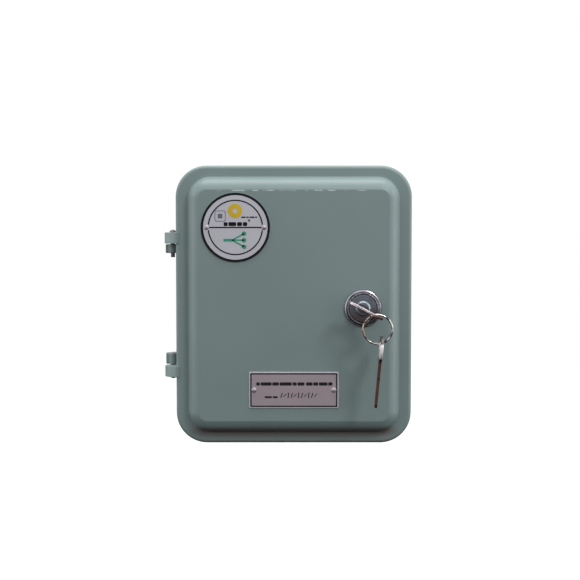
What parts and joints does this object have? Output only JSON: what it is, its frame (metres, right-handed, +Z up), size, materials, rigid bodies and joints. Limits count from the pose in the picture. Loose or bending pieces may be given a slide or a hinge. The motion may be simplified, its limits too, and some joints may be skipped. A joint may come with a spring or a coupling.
{
  "type": "fiber termination box",
  "caption": "Cast metal wall box with a hinged door, cam lock, keys on a split ring, adapter shelf, splice tray, cable clamp and rubber cable entries.",
  "frame": {"origin": "centre of the flat back face, on the wall", "axes": "+X to the right, +Y into the wall, +Z up; the door faces -Y"},
  "size_m": [0.1515, 0.1033, 0.17],
  "materials": {
    "case_paint": "satin",
    "seal_rubber": "matte",
    "pin_steel": "satin",
    "round_plate_metal": "satin",
    "name_plate_metal": "satin",
    "rivet_metal": "satin",
    "lock_chrome": "polished",
    "lock_face": "satin",
    "cam_steel": "satin",
    "key_nickel": "satin",
    "ring_wire": "polished",
    "spare_key_metal": "satin",
    "zinc_sheet": "satin",
    "screw_steel": "satin",
    "adapter_plastic": "satin",
    "cap_plastic": "matte",
    "tray_plastic": "matte",
    "sleeve_plastic": "gloss",
    "cover_plastic": "gloss",
    "clamp_plastic": "matte",
    "earth_brass": "satin"
  },
  "bodies": {
    "case": {"back_box": "case_paint", "hinge_pin_upper": "pin_steel", "hinge_pin_lower": "pin_steel", "adapter_bracket": "zinc_sheet", "bracket_screws": "screw_steel", "adapter_screws": "screw_steel", "adapter_1": "adapter_plastic", "adapter_2": "adapter_plastic", "adapter_3": "adapter_plastic", "adapter_4": "adapter_plastic", "splice_tray": "tray_plastic", "tray_screws": "screw_steel", "splice_holder": "tray_plastic", "splice_sleeves": "sleeve_plastic", "clamp_base": "clamp_plastic", "clamp_bar": "clamp_plastic", "clamp_screws": "screw_steel", "gland_plate": "zinc_sheet", "gland_screws": "screw_steel", "cable_grommet_1": "seal_rubber", "cable_grommet_2": "seal_rubber", "cable_grommet_3": "seal_rubber", "earth_stud": "earth_brass", "earth_nuts": "earth_brass", "earth_washers": "earth_brass"},
    "door": {"door_shell": "case_paint", "door_gasket": "seal_rubber", "round_plate": "round_plate_metal", "round_plate_rivets": "rivet_metal", "name_plate": "name_plate_metal", "name_plate_rivets": "rivet_metal", "lock_barrel": "lock_chrome", "lock_washer": "lock_chrome", "lock_nut": "lock_chrome"},
    "lock_core": {"lock_plug": "lock_face", "lock_cam": "cam_steel", "cam_screw": "cam_steel"},
    "door_key": {"door_key": "key_nickel"},
    "key_ring": {"key_ring": "ring_wire"},
    "spare_key": {"spare_key": "spare_key_metal"},
    "tray_cover": {"tray_cover": "cover_plastic"},
    "outlet_cap_1": {"outlet_cap_1": "cap_plastic"},
    "outlet_cap_2": {"outlet_cap_2": "cap_plastic"},
    "outlet_cap_3": {"outlet_cap_3": "cap_plastic"},
    "outlet_cap_4": {"outlet_cap_4": "cap_plastic"},
    "inner_cap_1": {"inner_cap_1": "cap_plastic"},
    "inner_cap_2": {"inner_cap_2": "cap_plastic"},
    "inner_cap_3": {"inner_cap_3": "cap_plastic"},
    "inner_cap_4": {"inner_cap_4": "cap_plastic"}
  },
  "joints": [
    {"name": "door_hinge", "type": "hinge", "parent": "case", "child": "door", "pos_m": [-0.07485, -0.05, 0], "axis": [0, 0, -1], "range_deg": [0, 120]},
    {"name": "lock_turn", "type": "hinge", "parent": "door", "child": "lock_core", "pos_m": [0.0415, -0.07, -0.0013], "axis": [0, -1, 0], "range_deg": [-62, 28]},
    {"name": "key_pull", "type": "slide", "parent": "lock_core", "child": "door_key", "axis": [0, -1, 0], "range_m": [0, 0.02]},
    {"name": "ring_swing", "type": "hinge", "parent": "door_key", "child": "key_ring", "pos_m": [0.04845, -0.092, -0.00375], "axis": [1, 0, 0], "range_deg": [-25, 8]},
    {"name": "spare_key_swing", "type": "hinge", "parent": "key_ring", "child": "spare_key", "pos_m": [0.04845, -0.092, -0.02065], "axis": [1, 0, 0], "range_deg": [-35, 10]},
    {"name": "tray_cover_lift", "type": "slide", "parent": "case", "child": "tray_cover", "axis": [0, -1, 0], "range_m": [0, 0.012]},
    {"name": "outlet_cap_1_pull", "type": "slide", "parent": "case", "child": "outlet_cap_1", "axis": [0, 0, -1], "range_m": [0, 0.01]},
    {"name": "outlet_cap_2_pull", "type": "slide", "parent": "case", "child": "outlet_cap_2", "axis": [0, 0, -1], "range_m": [0, 0.01]},
    {"name": "outlet_cap_3_pull", "type": "slide", "parent": "case", "child": "outlet_cap_3", "axis": [0, 0, -1], "range_m": [0, 0.01]},
    {"name": "outlet_cap_4_pull", "type": "slide", "parent": "case", "child": "outlet_cap_4", "axis": [0, 0, -1], "range_m": [0, 0.01]},
    {"name": "inner_cap_1_pull", "type": "slide", "parent": "case", "child": "inner_cap_1", "axis": [0, 0, 1], "range_m": [0, 0.01]},
    {"name": "inner_cap_2_pull", "type": "slide", "parent": "case", "child": "inner_cap_2", "axis": [0, 0, 1], "range_m": [0, 0.01]},
    {"name": "inner_cap_3_pull", "type": "slide", "parent": "case", "child": "inner_cap_3", "axis": [0, 0, 1], "range_m": [0, 0.01]},
    {"name": "inner_cap_4_pull", "type": "slide", "parent": "case", "child": "inner_cap_4", "axis": [0, 0, 1], "range_m": [0, 0.01]}
  ]
}
